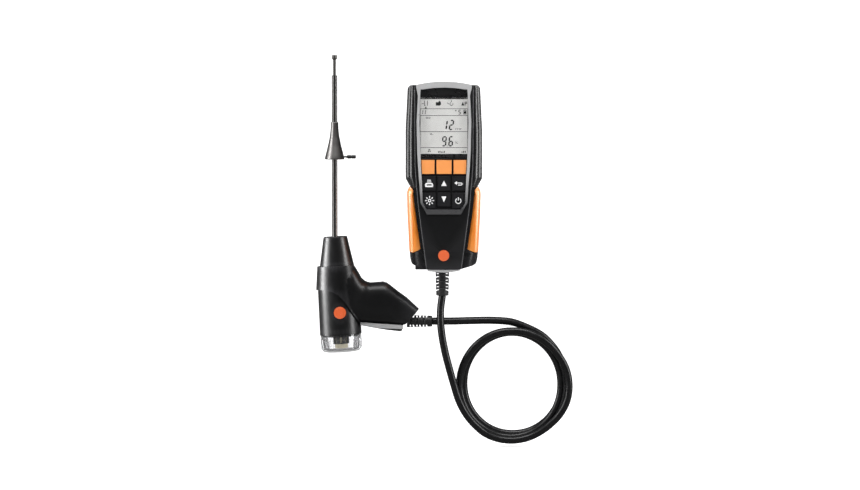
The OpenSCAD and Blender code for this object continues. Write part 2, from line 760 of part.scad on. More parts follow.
module tube_gland() color([0.6, 0.55, 0.4]) difference() {
    union() {
        on_handle() translate([0, 0, -14]) cylinder(r = 8, h = 9.8);
        on_handle() translate([0, 0, -18]) cylinder(r = 6, h = 6, $fn = 6);
    }
    rod_z([tube_x, handle_y, -100], tube_r + slip, 60);
}

mark_z = 60;        // ring that marks where the cone is set
mark_w = 0.6;

module probe_tube() color([0.62, 0.62, 0.62]) difference() {
    rod_z([tube_x, handle_y, tube_low], tube_r, tube_top - tube_low);
    difference() {
        rod_z([tube_x, handle_y, mark_z - mark_w / 2], tube_r + 1, mark_w);
        rod_z([tube_x, handle_y, mark_z - 1], tube_r - 0.2, 2);
    }
    rod_z([tube_x, handle_y, tube_low - 1], tube_r - 0.6, tube_top - tube_low + 2);
}

rod_r = 1.6;

tip_top = 128.6;
tip_r = 2.9;

module thermocouple() color([0.66, 0.66, 0.67]) {
    rod_z([tube_x, handle_y, tube_top - 40], rod_r, tip_top - tube_top + 36);
    rod_z([tube_x, handle_y, tube_top - 6], tube_r - 0.62, 6.6);
    translate([tube_x, handle_y, tip_top - 5]) cylinder(r1 = rod_r, r2 = tip_r, h = 1.4);
    difference() {
        rod_z([tube_x, handle_y, tip_top - 3.6], tip_r, 3.6);
        rod_z([tube_x, handle_y, tip_top - 1], tip_r - 0.8, 2);
    }
}

// Stop cone profile: [radius, height over its foot]
module stop_cone() color([0.7, 0.7, 0.7]) difference() {
    translate([tube_x, handle_y, 57.6 - cone_l]) rotate_extrude() polygon([
        [tube_r + slip, 0.8], [cone_r - 1.2, 0], [cone_r - 0.3, 0.1], [cone_r, 0.5],
        [cone_r, 1.6], [cone_r * 0.972, 3], [cone_r * 0.87, 7.2], [cone_r * 0.765, 11.4],
        [cone_r * 0.663, 15.6], [cone_r * 0.58, 19.8], [cone_r * 0.497, 24], [cone_r * 0.44, 28.4],
        [cone_r * 0.4, 33], [cone_r * 0.385, cone_l - 0.6], [cone_r * 0.36, cone_l],
        [tube_r + slip, cone_l]]);
    rod_x([tube_x, handle_y, clamp_z], clamp_r + slip, 20);
}

clamp_z = 20.9;
clamp_r = 0.9;

module clamp_screw() color([0.72, 0.72, 0.73])
    rod_x([tube_x + tube_r + 0.05, handle_y, clamp_z], clamp_r, 9.9);

module clamp_knob() color([0.06, 0.06, 0.07]) difference() {
    union() {
        rod_x([-103.1, handle_y, clamp_z], 1.5, 9.8);
        rod_x([-102.2, handle_y, clamp_z], 1.9, 3.8);
        rod_x([-98, handle_y, clamp_z], 1.9, 4.4);
    }
    rod_x([-104, handle_y, clamp_z], clamp_r, 1 + tube_x + tube_r + 0.05 + 9.9 + 103);
}

// Grip: top edge and half thickness by X
grip_top = [[-114, -94.6], [-97, -94.9], [-93.5, -97.8], [-90.7, -101.5], [-87.3, -107.8],
            [-83.2, -111.1], [-78.4, -112.5], [-72.4, -112.1], [-64.2, -111.5], [-60.2, -112.8],
            [-56.1, -115.9], [-49.3, -121.3], [-39.1, -128.7], [-26.4, -140.6], [-22, -145]];
grip_low = [[-114, -157.2], [-88, -155], [-42, -158.2], [-22, -159.6]];
grip_half = [[-114, 22], [-97, 20.6], [-88, 17.6], [-78, 15.6], [-64, 15], [-49, 14], [-39, 12.6],
             [-26, 10], [-22, 9]];
grip_x = [-114, -97, -93.5, -90.7, -87.3, -83.2, -78.4, -72.4, -64.2, -60.2, -56.1, -49.3, -39.1,
          -26.4, -22];
arm_wall = 2.4;

function sign_power(v, e) = v < 0 ? -pow(-v, e) : pow(v, e);

function grip_section(x, inset) =
    let (top = lookup(x, grip_top) - inset, low = lookup(x, grip_low) + inset,
         half = lookup(x, grip_half) - inset, mid = (top + low) / 2)
    [for (a = [0:15:345]) [x, handle_y + half * sign_power(cos(a), 0.8),
                           mid + (top - low) / 2 * sign_power(sin(a), 0.72)]];

module grip_solid() {
    difference() {
        union() {
            on_handle() translate([0, 0, -95])
                cylinder(r = collar_r, h = 95 - collar_low, $fn = arc_fn);
            on_handle() translate([0, 0, -collar_low])
                cylinder(r1 = collar_r, r2 = collar_r - 2.7, h = collar_low - nose_h - 0.05,
                         $fn = arc_fn);
            loft([for (x = grip_x) grip_section(x, 0)]);
        }
        // lower edge of the cuff over the barrel, upper right corner and slanted end
        slab(-60, 20) polygon([[-150, -120.8], [-136, -120.6], [-128, -119.9], [-118.5, -121.2],
                               [-111.3, -124.9], [-103.9, -133.4], [-99.2, -140.2],
                               [-94.7, -147], [-89.8, -154.6], [-88.6, -157.4], [-88.6, -200],
                               [-150, -200]]);
        slab(-60, 20) polygon([[-95.6, -90], [-95.6, -95], [-90.7, -101.5], [-87.3, -107.8],
                               [-70, -107.8], [-70, -90]]);
        slab(-60, 20) polygon([[-26.4, -140.4], [-30.3, -145.4], [-41.9, -158], [-41.9, -180],
                               [0, -180], [0, -140.4]]);
    }
}

grip_screw_at = [[-77, -136], [-52, -137], [-80, -149]];

module grip_cavity() {
    difference() {
        loft([for (x = [-88, -83.2, -78.4, -64.2, -56.1, -49.3, -42])
            grip_section(x, arm_wall)]);
        for (q = grip_screw_at) rod_y([q[0], -60, q[1]], 3.4, 80);
    }
}

module grip_holes() {
    grip_cavity();
    on_handle() {
        barrel_body(gap);
        translate([0, 0, -barrel_top - 1]) cylinder(r = barrel_shoulder + gap, h = 1.5);
        translate([0, 0, -40]) cylinder(r = spigot_r + gap, h = 40);
    }
    rod_x([-46, handle_y, boot_z], 6.7, 60);
    for (q = grip_screw_at) rod_y([q[0], -31, q[1]], 1.3, 30);
    for (q = grip_screw_at) rod_y([q[0], -10.6, q[1]], 2.6, 20);
    slab(-60, 20) base_outline(gap);
}

module grip_front_half() color([0.07, 0.07, 0.08]) difference() {
    grip_solid();
    block([-200, handle_y - gap / 4, -200], [50, 50, 0]);
    grip_holes();
}

module grip_rear_half() color([0.07, 0.07, 0.08]) difference() {
    grip_solid();
    block([-200, -100, -200], [50, handle_y + gap / 4, 0]);
    grip_holes();
}

module grip_screws() color([0.7, 0.7, 0.72]) for (q = grip_screw_at) difference() {
    union() {
        rod_y([q[0], -30.5, q[1]], 1.25, 20);
        rod_y([q[0], -10.6, q[1]], 2.5, 1.8);
    }
    rod_y([q[0], -9.7, q[1]], 1, 3);
}

module base_outline(grow) {
    polygon([[-88.4 - grow, -154.6 + grow], [-88.4 - grow, -157.4 - grow],
             [-72.5, -160.5 - grow], [-43.5 + grow, -161.6 - grow], [-43 + grow, -157.6 + grow]]);
}

foot_outline = [[-80, -158.9], [-46, -161.1], [-44, -161.2], [-44.2, -163], [-46, -164.1],
                [-60, -162.5], [-72.5, -160.6], [-80, -159.2]];

module grip_base_cover() color([0.6, 0.6, 0.6]) difference() {
    slab(handle_y - 11, handle_y + 11) base_outline(0);
    slab(handle_y - 9.5, handle_y + 9.5) polygon(foot_outline);
    on_handle() barrel_body(gap);
    rod_x([-46, handle_y, boot_z], 6.7, 60);
}

// Rubber foot let into the cover
module grip_foot() color([0.06, 0.06, 0.07])
    slab(handle_y - 9.4, handle_y + 9.4) polygon(foot_outline);

module barrel() color([0.07, 0.07, 0.08]) difference() {
    on_handle() difference() {
        union() {
            barrel_body(0);
            translate([0, 0, -barrel_low - neck_h]) cylinder(r = 18.9, h = neck_h + 1);
        }
        translate([0, 0, -barrel_low + 2])
            cylinder(r = barrel_shoulder - barrel_wall, h = 200);
        translate([0, 0, -barrel_low - 5]) cylinder(r = 17.6, h = 5);
        translate([0, 0, -barrel_low - 5]) cylinder(r = 6, h = 20);
        translate([handle_badge_x, -barrel_r - 1.2, -handle_badge_z]) rotate([-90, 0, 0])
            cylinder(r = handle_badge_r + gap, h = 2.9);
    }
    // opening towards the grip for the gas and signal lines
    rod_x([-112, handle_y, -140], 6, 40);
}

neck_h = 2;           // neck that carries the cap and its seal
handle_badge_r = 6.4;
handle_badge_x = 1;
handle_badge_z = 79.8;

module handle_badge() color([0.92, 0.42, 0.1]) on_handle() intersection() {
    translate([handle_badge_x, -barrel_r - 1.2, -handle_badge_z]) rotate([-90, 0, 0])
        cylinder(r = handle_badge_r, h = 2.85);
    barrel_body(0.25);
}

module handle_boot() color([0.06, 0.06, 0.07])
    translate([handle_end_x - 27, handle_y, boot_z]) rotate([0, 90, 0]) bend_relief(27, 6.6, 5.8);

// Cage for the filter, with a flange under the barrel
module filter_carrier() color([0.05, 0.05, 0.06]) on_handle() difference() {
    union() {
        translate([0, 0, -barrel_low - neck_h]) cylinder(r = 17.4, h = neck_h - 0.1);
        translate([0, 0, -barrel_low - cage_h]) cylinder(r = cage_r, h = cage_h - 1);
    }
    translate([0, 0, -barrel_low - cage_h - 1]) cylinder(r = filter_r + 0.1, h = cage_h - 0.6);
    for (a = [0:45:315]) rotate([0, 0, a])
        translate([cage_r - 3, -1.1, -barrel_low - cage_h + 1]) cube([5, 2.2, cage_h - 4.2]);
    translate([0, 0, -barrel_low - 5]) cylinder(r = 4, h = 6);
}

module particle_filter() color([0.86, 0.83, 0.72]) on_handle() {
    translate([0, 0, -barrel_low - 14.6]) cylinder(r = filter_r, h = 12.8);
    translate([0, 0, -barrel_low - 15]) cylinder(r = filter_r - 1.5, h = 1);
}

module cap_seal() color([0.04, 0.04, 0.04]) on_handle() translate([0, 0, -barrel_low - 1.1])
    rotate_extrude() translate([19.6, 0]) circle(r = 0.62);

cap_r = 21.7;
cap_edge = 3;

// Clear cap: the outer edge is a quarter round
module filter_cap() color([0.85, 0.88, 0.9, 0.4]) on_handle()
    translate([0, 0, -barrel_low - gap - cap_h]) difference() {
        union() {
            rotate_extrude() polygon(concat([[0, 0]],
                [for (a = [0:15:90]) [cap_r - 1.2 - cap_edge * (1 - sin(a)), cap_edge * (1 - cos(a))]],
                [[cap_r, cap_h - 6], [cap_r, cap_h], [0, cap_h]]));
            for (a = [0:18:342]) rotate([0, 0, a]) translate([cap_r - 1.4, -0.9, cap_edge])
                cube([1.9, 1.8, cap_h - 8.6]);
        }
        rotate_extrude() polygon(concat([[0, 1.8]],
            [for (a = [0:30:90]) [19.2 - 3 * (1 - sin(a)), 1.8 + 3 * (1 - cos(a))]],
            [[19.2, cap_h - 5.4], [20.35, cap_h - 5], [20.35, cap_h + 1], [0, cap_h + 1]]));
    }

front_shell();
rear_shell();
left_grip();
right_grip();
bezel();
display_window();
display_mask();
lcd_panel();
backlight();
keypad_deck();
keypad_mat();
main_board();
processor_chip();
usb_socket();
infrared_window();
battery_pack();
gas_pump();
pump_motor();
sensor_block();
oxygen_cell();
carbon_monoxide_cell();
draught_sensor();
pump_hose();
condensate_trap();
rear_magnets();
housing_screws();
body_badge();
hose_outlet_plate();
instrument_boot();
function_key_left();
function_key_middle();
function_key_right();
print_key();
light_key();
up_key();
down_key();
escape_key();
power_key();
drain_plug();
hose();
nose_cone();
barrel();
grip_front_half();
grip_rear_half();
grip_base_cover();
grip_foot();
handle_badge();
probe_tube();
thermocouple();
tube_gland();
filter_carrier();
particle_filter();
handle_boot();
grip_screws();
cap_seal();
filter_cap();
stop_cone();
clamp_screw();
clamp_knob();
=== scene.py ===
"""Looks of the flue-gas analyser: materials, display artwork, key symbols, hose and studio."""
import math

import bmesh
import bpy
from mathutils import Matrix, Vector


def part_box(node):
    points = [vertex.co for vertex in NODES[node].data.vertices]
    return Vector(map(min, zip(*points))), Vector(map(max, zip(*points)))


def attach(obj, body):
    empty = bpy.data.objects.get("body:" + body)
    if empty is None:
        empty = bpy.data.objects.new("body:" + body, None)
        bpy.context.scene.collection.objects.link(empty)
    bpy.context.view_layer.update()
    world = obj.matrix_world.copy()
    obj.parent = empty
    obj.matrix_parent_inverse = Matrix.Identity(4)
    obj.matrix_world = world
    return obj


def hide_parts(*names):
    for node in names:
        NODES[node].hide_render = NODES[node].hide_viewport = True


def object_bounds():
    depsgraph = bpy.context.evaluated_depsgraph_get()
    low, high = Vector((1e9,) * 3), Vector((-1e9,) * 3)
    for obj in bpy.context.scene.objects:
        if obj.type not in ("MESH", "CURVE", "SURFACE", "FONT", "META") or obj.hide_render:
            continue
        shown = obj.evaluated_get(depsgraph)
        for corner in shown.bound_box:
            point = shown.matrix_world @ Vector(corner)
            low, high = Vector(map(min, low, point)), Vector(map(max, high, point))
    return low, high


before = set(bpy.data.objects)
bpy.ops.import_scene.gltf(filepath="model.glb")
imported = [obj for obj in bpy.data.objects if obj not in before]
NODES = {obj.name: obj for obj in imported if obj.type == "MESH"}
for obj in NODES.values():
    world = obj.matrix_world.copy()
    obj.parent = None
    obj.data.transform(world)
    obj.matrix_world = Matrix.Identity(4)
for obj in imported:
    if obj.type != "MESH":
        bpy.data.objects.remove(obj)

CAD_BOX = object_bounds()
MM = 0.001


# ---------------------------------------------------------------- materials

def new_material(name):
    m = bpy.data.materials.new(name)
    m.use_nodes = True
    nt = m.node_tree
    nt.nodes.clear()
    out = nt.nodes.new("ShaderNodeOutputMaterial")
    bsdf = nt.nodes.new("ShaderNodeBsdfPrincipled")
    nt.links.new(bsdf.outputs[0], out.inputs[0])
    return m, nt, bsdf, out


def add(nt, kind, **values):
    n = nt.nodes.new(kind)
    for k, v in values.items():
        setattr(n, k, v)
    return n


def noise(nt, coord, scale, detail=3.0, rough=0.55):
    n = add(nt, "ShaderNodeTexNoise")
    n.inputs["Scale"].default_value = scale
    n.inputs["Detail"].default_value = detail
    n.inputs["Roughness"].default_value = rough
    nt.links.new(coord, n.inputs["Vector"])
    return n.outputs["Fac"]


def remap(nt, value, lo, hi, from_lo=0.0, from_hi=1.0):
    n = add(nt, "ShaderNodeMapRange")
    n.inputs["From Min"].default_value = from_lo
    n.inputs["From Max"].default_value = from_hi
    n.inputs["To Min"].default_value = lo
    n.inputs["To Max"].default_value = hi
    nt.links.new(value, n.inputs["Value"])
    return n.outputs["Result"]


def blend_colour(nt, fac, a, b):
    n = add(nt, "ShaderNodeMix", data_type="RGBA")
    for key, v in (("A", a), ("B", b)):
        s = [i for i in n.inputs if i.name == key and i.type == "RGBA"][0]
        if isinstance(v, (tuple, list)):
            s.default_value = (*v[:3], 1.0)
        else:
            nt.links.new(v, s)
    f = [i for i in n.inputs if i.name == "Factor" and i.type == "VALUE"][0]
    if isinstance(fac, (int, float)):
        f.default_value = fac
    else:
        nt.links.new(fac, f)
    return [o for o in n.outputs if o.type == "RGBA"][0]


def product(nt, a, b):
    n = add(nt, "ShaderNodeMath", operation="MULTIPLY")
    for socket, v in zip(n.inputs, (a, b)):
        if isinstance(v, (int, float)):
            socket.default_value = v
        else:
            nt.links.new(v, socket)
    return n.outputs[0]


def mix_shaders(nt, fac, a, b):
    """Shader a where fac is 0 and shader b where it is 1."""
    n = add(nt, "ShaderNodeMixShader")
    if isinstance(fac, (int, float)):
        n.inputs[0].default_value = fac
    else:
        nt.links.new(fac, n.inputs[0])
    nt.links.new(a, n.inputs[1])
    nt.links.new(b, n.inputs[2])
    return n.outputs[0]


def mix_values(nt, fac, a, b):
    """Value a where fac is 0 and value b where it is 1."""
    n = add(nt, "ShaderNodeMix", data_type="FLOAT")
    for i, v in ((0, fac), (2, a), (3, b)):
        if isinstance(v, (int, float)):
            n.inputs[i].default_value = v
        else:
            nt.links.new(v, n.inputs[i])
    return n.outputs[0]


def surface(name, colour, rough=0.4, vary=0.12, metallic=0.0, grain=2400.0, bump=0.06,
            rough_vary=0.08, wear=0.25, wear_colour=None, coat=0.0, coat_rough=0.12,
            specular=0.5, sheen=0.0, blotch=60.0, stretch=None, bump_mm=0.02, round_mm=0.35):
    """Moulded plastic, rubber or metal: blotchy colour, grained bump, uneven gloss, soft worn edges."""
    m, nt, bsdf, _ = new_material(name)
    tc = add(nt, "ShaderNodeTexCoord").outputs["Object"]
    if stretch:
        mp = add(nt, "ShaderNodeMapping")
        mp.inputs["Scale"].default_value = stretch
        nt.links.new(tc, mp.inputs["Vector"])
        fine = mp.outputs["Vector"]
    else:
        fine = tc
    low = tuple(c * (1 - vary) for c in colour)
    high = tuple(min(1.0, c * (1 + vary)) for c in colour)
    col = blend_colour(nt, remap(nt, noise(nt, tc, blotch), 0, 1, 0.3, 0.7), low, high)
    if wear:
        geo = add(nt, "ShaderNodeNewGeometry").outputs["Pointiness"]
        edge = remap(nt, geo, 0.0, wear, 0.52, 0.62)
        wc = wear_colour or tuple(min(1.0, c * 1.5 + 0.05) for c in colour)
        col = blend_colour(nt, edge, col, wc)
    nt.links.new(col, bsdf.inputs["Base Color"])
    r = remap(nt, noise(nt, fine, blotch * 3), rough - rough_vary, rough + rough_vary, 0.3, 0.7)
    nt.links.new(r, bsdf.inputs["Roughness"])
    normal = None
    if round_mm:
        edge = add(nt, "ShaderNodeBevel", samples=4)
        edge.inputs["Radius"].default_value = round_mm * MM
        normal = edge.outputs["Normal"]
    if bump:
        b = add(nt, "ShaderNodeBump")
        b.inputs["Strength"].default_value = bump
        b.inputs["Distance"].default_value = bump_mm * MM
        nt.links.new(noise(nt, fine, grain, 2.0), b.inputs["Height"])
        if normal:
            nt.links.new(normal, b.inputs["Normal"])
        normal = b.outputs["Normal"]
    if normal:
        nt.links.new(normal, bsdf.inputs["Normal"])
    bsdf.inputs["Metallic"].default_value = metallic
    bsdf.inputs["Coat Weight"].default_value = coat
    bsdf.inputs["Coat Roughness"].default_value = coat_rough
    bsdf.inputs["Specular IOR Level"].default_value = specular
    bsdf.inputs["Sheen Weight"].default_value = sheen
    return m


def clear(name, tint=(0.95, 0.97, 0.97), rough=0.04, gloss=0.9, haze=0.0, bump=0.0, deep=1.0):
    """Clear moulded plastic: see-through, with its surface reflection, a little haze and flow marks."""
    m, nt, bsdf, out = new_material(name)
    nt.nodes.remove(bsdf)
    tc = add(nt, "ShaderNodeTexCoord").outputs["Object"]
    see = add(nt, "ShaderNodeBsdfTransparent")
    col = blend_colour(nt, noise(nt, tc, 90.0), tint, tuple(c * 0.93 for c in tint))
    if deep < 1:
        # A wall seen edge on is a long way through, so it looks darker
        slant = add(nt, "ShaderNodeLayerWeight")
        slant.inputs["Blend"].default_value = 0.5
        far = remap(nt, slant.outputs["Facing"], 0.0, 1.0, 0.55, 0.98)
        col = blend_colour(nt, far, col, tuple(c * deep for c in tint))
    nt.links.new(col, see.inputs["Color"])
    shine = add(nt, "ShaderNodeBsdfGlossy")
    shine.inputs["Color"].default_value = (1, 1, 1, 1)
    nt.links.new(remap(nt, noise(nt, tc, 200.0), rough * 0.6, rough * 1.6), shine.inputs["Roughness"])
    milk = add(nt, "ShaderNodeBsdfDiffuse")
    milk.inputs["Color"].default_value = (0.85, 0.86, 0.88, 1)
    if bump:
        b = add(nt, "ShaderNodeBump")
        b.inputs["Strength"].default_value = bump
        b.inputs["Distance"].default_value = 0.2 * MM
        nt.links.new(noise(nt, tc, 260.0), b.inputs["Height"])
        nt.links.new(b.outputs["Normal"], shine.inputs["Normal"])
    fres = add(nt, "ShaderNodeFresnel")
    fres.inputs["IOR"].default_value = 1.5
    hazy = mix_shaders(nt, haze, see.outputs[0], milk.outputs[0])
    glossy = mix_shaders(nt, product(nt, fres.outputs[0], gloss), hazy, shine.outputs[0])
    # Light on its way to what lies behind passes without loss
    path = add(nt, "ShaderNodeLightPath")
    lit = add(nt, "ShaderNodeMath", operation="MAXIMUM")
    nt.links.new(path.outputs["Is Shadow Ray"], lit.inputs[0])
    nt.links.new(path.outputs["Is Diffuse Ray"], lit.inputs[1])
    free = add(nt, "ShaderNodeBsdfTransparent")
    nt.links.new(mix_shaders(nt, lit.outputs[0], glossy, free.outputs[0]), out.inputs[0])
    return m


BLACK = (0.0045, 0.0045, 0.005)
ORANGE = (0.9, 0.25, 0.02)
M = {
    "panel": surface("satin_black_plastic", BLACK, 0.36, 0.2, grain=3000, bump=0.15, wear=0.35,
                     wear_colour=(0.06, 0.06, 0.065), specular=0.38),
    "rear": surface("textured_black_plastic", (0.009, 0.009, 0.01), 0.5, 0.2, grain=1800, bump=0.5,
                    bump_mm=0.05, wear=0.3),
    "rubber": surface("black_rubber", (0.006, 0.006, 0.0065), 0.5, 0.25, grain=2600, bump=0.35,
                      wear=0.4, wear_colour=(0.05, 0.05, 0.052), sheen=0.15),
    "hose": surface("hose_rubber", (0.004, 0.004, 0.0045), 0.3, 0.25, grain=2600, bump=0.2,
                    wear=0, specular=0.4),
    "handle": surface("handle_black_plastic", (0.0035, 0.0035, 0.0038), 0.33, 0.2, grain=2200,
                      bump=0.2, bump_mm=0.04, rough_vary=0.04, wear=0.3,
                      wear_colour=(0.06, 0.06, 0.065), specular=0.32),
    "orange_rubber": surface("orange_rubber", ORANGE, 0.38, 0.06, grain=2000, bump=0.12,
                             bump_mm=0.04, rough_vary=0.02, wear=0.5,
                             wear_colour=(1.0, 0.45, 0.14), coat=0.5, coat_rough=0.3),
    "orange_key": surface("orange_key_plastic", (0.93, 0.23, 0.018), 0.38, 0.05, grain=2600,
                          bump=0.25, wear=0.6, wear_colour=(1.0, 0.45, 0.16)),
    "badge": surface("badge_enamel", (0.8, 0.13, 0.035), 0.22, 0.04, grain=900, bump=0.03,
                     wear=0.2, coat=0.6),
    "key": surface("black_key_plastic", (0.0035, 0.0035, 0.004), 0.4, 0.2, grain=2600, bump=0.2,
                   wear=0.2, wear_colour=(0.05, 0.05, 0.055), specular=0.25),
    "deck": surface("deck_black", (0.003, 0.003, 0.0035), 0.45, 0.2, grain=2600, bump=0.2, wear=0.2,
                    specular=0.3),
    "mask": surface("black_print", (0.014, 0.014, 0.015), 0.3, 0.15, bump=0.02, wear=0),
    # The hose outlet plate is a real plate; its near-white colour is painted highlight, standing in for
    # the light on the housing's rounded bottom edge.
    "grey": surface("grey_plastic", (0.95, 0.95, 0.96), 0.42, 0.08, grain=2200, bump=0.3,
                    wear=0.3),
    # The base cover is a real lip under the grip; its light grey is painted highlight, standing in for
    # the light along it.
    "cover": surface("base_cover_painted_highlight", (0.27, 0.27, 0.275), 0.34, 0.08, grain=2200, bump=0.3,
                     wear=0.5, wear_colour=(0.5, 0.5, 0.5)),
    "white": surface("white_plastic", (0.8, 0.8, 0.77), 0.5, 0.05, bump=0.1, wear=0.1),
    "print_white": surface("white_ink", (0.97, 0.97, 0.98), 0.45, 0.05, bump=0.08, wear=0),
    "ivory": surface("ivory_plastic", (0.7, 0.67, 0.56), 0.5, 0.08, bump=0.2, wear=0.3),
    "blue": surface("blue_plastic", (0.05, 0.12, 0.32), 0.4, 0.12, bump=0.2, wear=0.4),
    "chip": surface("chip_black", (0.02, 0.02, 0.022), 0.55, 0.2, bump=0.3, wear=0.4),
    "board": surface("board_green", (0.02, 0.14, 0.05), 0.3, 0.25, grain=900, bump=0.3, wear=0.3,
                     blotch=400, coat=0.4),
    "steel": surface("stainless_tube", (0.12, 0.116, 0.113), 0.28, 0.04, metallic=1.0, grain=1500,
                     bump=0.1, rough_vary=0.03, wear=0.2, stretch=(1, 1, 0.04), blotch=120),
    "cone": surface("turned_steel", (0.25, 0.24, 0.235), 0.4, 0.06, metallic=1.0, grain=1500,
                    bump=0.1, rough_vary=0.04, wear=0.3, stretch=(0.04, 0.04, 1), blotch=160),
    "nickel": surface("nickel_plate", (0.6, 0.6, 0.62), 0.2, 0.08, metallic=1.0, grain=500,
                      bump=0.1, wear=0.3, blotch=140),
    "screw": surface("zinc_screw", (0.5, 0.5, 0.52), 0.3, 0.12, metallic=1.0, grain=900, bump=0.2,
                     wear=0.4),
    "brass": surface("machined_brass", (0.62, 0.42, 0.14), 0.25, 0.1, metallic=1.0, grain=900,
                     bump=0.2, wear=0.3),
    "tip": surface("heat_tinted_steel", (0.11, 0.105, 0.1), 0.42, 0.1, metallic=1.0, grain=1200,
                   bump=0.15, rough_vary=0.04, wear=0.3),
    "felt": surface("filter_felt", (0.72, 0.66, 0.5), 0.85, 0.14, grain=1400, bump=0.9,
                    bump_mm=0.25, wear=0, sheen=0.5, blotch=240),
    "red": surface("infrared_plastic", (0.05, 0.004, 0.006), 0.12, 0.1, bump=0.02, coat=0.5),
    "silicone": surface("clear_silicone", (0.6, 0.59, 0.54), 0.45, 0.06, bump=0.1, wear=0),
    # Grey of the beads along the centre panel's edges: painted highlight.
    "edge": surface("panel_edge_plastic", (0.09, 0.09, 0.095), 0.3, 0.1, bump=0.05, wear=0.2),
    "ink": surface("lcd_ink", (0.008, 0.009, 0.009), 0.5, 0.1, bump=0.02, wear=0),
    "window": clear("window_plastic", (0.985, 0.983, 0.98), 0.03, 0.45),
    "cap": clear("cap_plastic", (0.985, 0.985, 0.99), 0.05, 0.6, 0.01, 0.4, 0.7),
    "trap": clear("trap_plastic", (0.9, 0.93, 0.94), 0.1, 0.8, 0.2),
}


def front_material():
    """The front shell: satin centre panel, glossy side rails."""
    m = surface("front_shell_plastic", (0.0035, 0.0035, 0.004), 0.36, 0.2, grain=3000, bump=0.1,
                rough_vary=0.03, wear=0.3, wear_colour=(0.07, 0.07, 0.075), specular=0.38,
                round_mm=0.6)
    nt = m.node_tree
    bsdf = [n for n in nt.nodes if n.type == "BSDF_PRINCIPLED"][0]
    tc = add(nt, "ShaderNodeTexCoord").outputs["Object"]
    sep = add(nt, "ShaderNodeSeparateXYZ")
    nt.links.new(tc, sep.inputs[0])
    side = add(nt, "ShaderNodeMath", operation="ABSOLUTE")
    nt.links.new(sep.outputs["X"], side.inputs[0])
    curve = add(nt, "ShaderNodeFloatCurve")
    curve.mapping.use_clip = False
    pts = [(-101, 18), (-94, 18.9), (-62, 23.2), (-29, 27.4), (11, 30.6), (101, 31)]
    c = curve.mapping.curves[0]
    while len(c.points) > 2:
        c.points.remove(c.points[-1])
    for i, (z, h) in enumerate(pts):
        p = c.points[i] if i < 2 else c.points.new(0, 0)
        p.location = ((z + 101) / 202, h / 100)
    for p in c.points:
        p.handle_type = "VECTOR"
    curve.mapping.update()
    up = remap(nt, sep.outputs["Z"], 0, 1, -0.101, 0.101)
    nt.links.new(up, curve.inputs["Value"])
    out = add(nt, "ShaderNodeMath", operation="GREATER_THAN")
    nt.links.new(side.outputs[0], out.inputs[0])
    nt.links.new(product(nt, curve.outputs[0], 0.1), out.inputs[1])
    rough = bsdf.inputs["Roughness"].links[0].from_socket
    smoother = remap(nt, rough, 0.24, 0.3, 0.33, 0.39)
    nt.links.new(mix_values(nt, out.outputs[0], rough, smoother), bsdf.inputs["Roughness"])
    above_grips = remap(nt, sep.outputs["Z"], 0.0, 1.0, -0.035, -0.02)
    coat = remap(nt, product(nt, out.outputs[0], above_grips), 0.0, 0.6)
    nt.links.new(coat, bsdf.inputs["Coat Weight"])
    bsdf.inputs["Coat Roughness"].default_value = 0.24
    return m


def bezel_material():
    """Silver paint, with painted shade: it runs into dark grey towards the bottom, on the lower bevel
    that faces down.
    """
    m = surface("silver_bezel_paint", (0.53, 0.53, 0.535), 0.34, 0.05, metallic=0.2, grain=3500,
                bump=0.1, wear=0, blotch=120)
    nt = m.node_tree
    bsdf = [n for n in nt.nodes if n.type == "BSDF_PRINCIPLED"][0]
    tc = add(nt, "ShaderNodeTexCoord").outputs["Object"]
    sep = add(nt, "ShaderNodeSeparateXYZ")
    nt.links.new(tc, sep.inputs[0])
    # Painted shade: the colour darkens into dark grey towards the bottom of the bezel.
    low = remap(nt, sep.outputs["Z"], 1.0, 0.0, -0.034, -0.0)
    col = bsdf.inputs["Base Color"].links[0].from_socket
    nt.links.new(blend_colour(nt, low, col, (0.07, 0.07, 0.073)), bsdf.inputs["Base Color"])
    return m


def lcd_material():
    """Reflective display: grey-green, with its cell grid and a slow change of tone."""
    m, nt, bsdf, _ = new_material("lcd_glass")
    tc = add(nt, "ShaderNodeTexCoord").outputs["Object"]
    slow = remap(nt, noise(nt, tc, 18.0, 1.0), 0, 1, 0.3, 0.7)
    col = blend_colour(nt, slow, (0.735, 0.735, 0.722), (0.785, 0.785, 0.77))
    cell = add(nt, "ShaderNodeTexVoronoi")
    cell.inputs["Scale"].default_value = 2600
    nt.links.new(tc, cell.inputs["Vector"])
    grid = remap(nt, cell.outputs["Distance"], 0.0, 0.12)
    col = blend_colour(nt, grid, col, (0.64, 0.64, 0.63))
    nt.links.new(col, bsdf.inputs["Base Color"])
    nt.links.new(remap(nt, noise(nt, tc, 300.0), 0.3, 0.45), bsdf.inputs["Roughness"])
    return m


M["front"] = front_material()
M["bezel"] = bezel_material()
M["lcd"] = lcd_material()

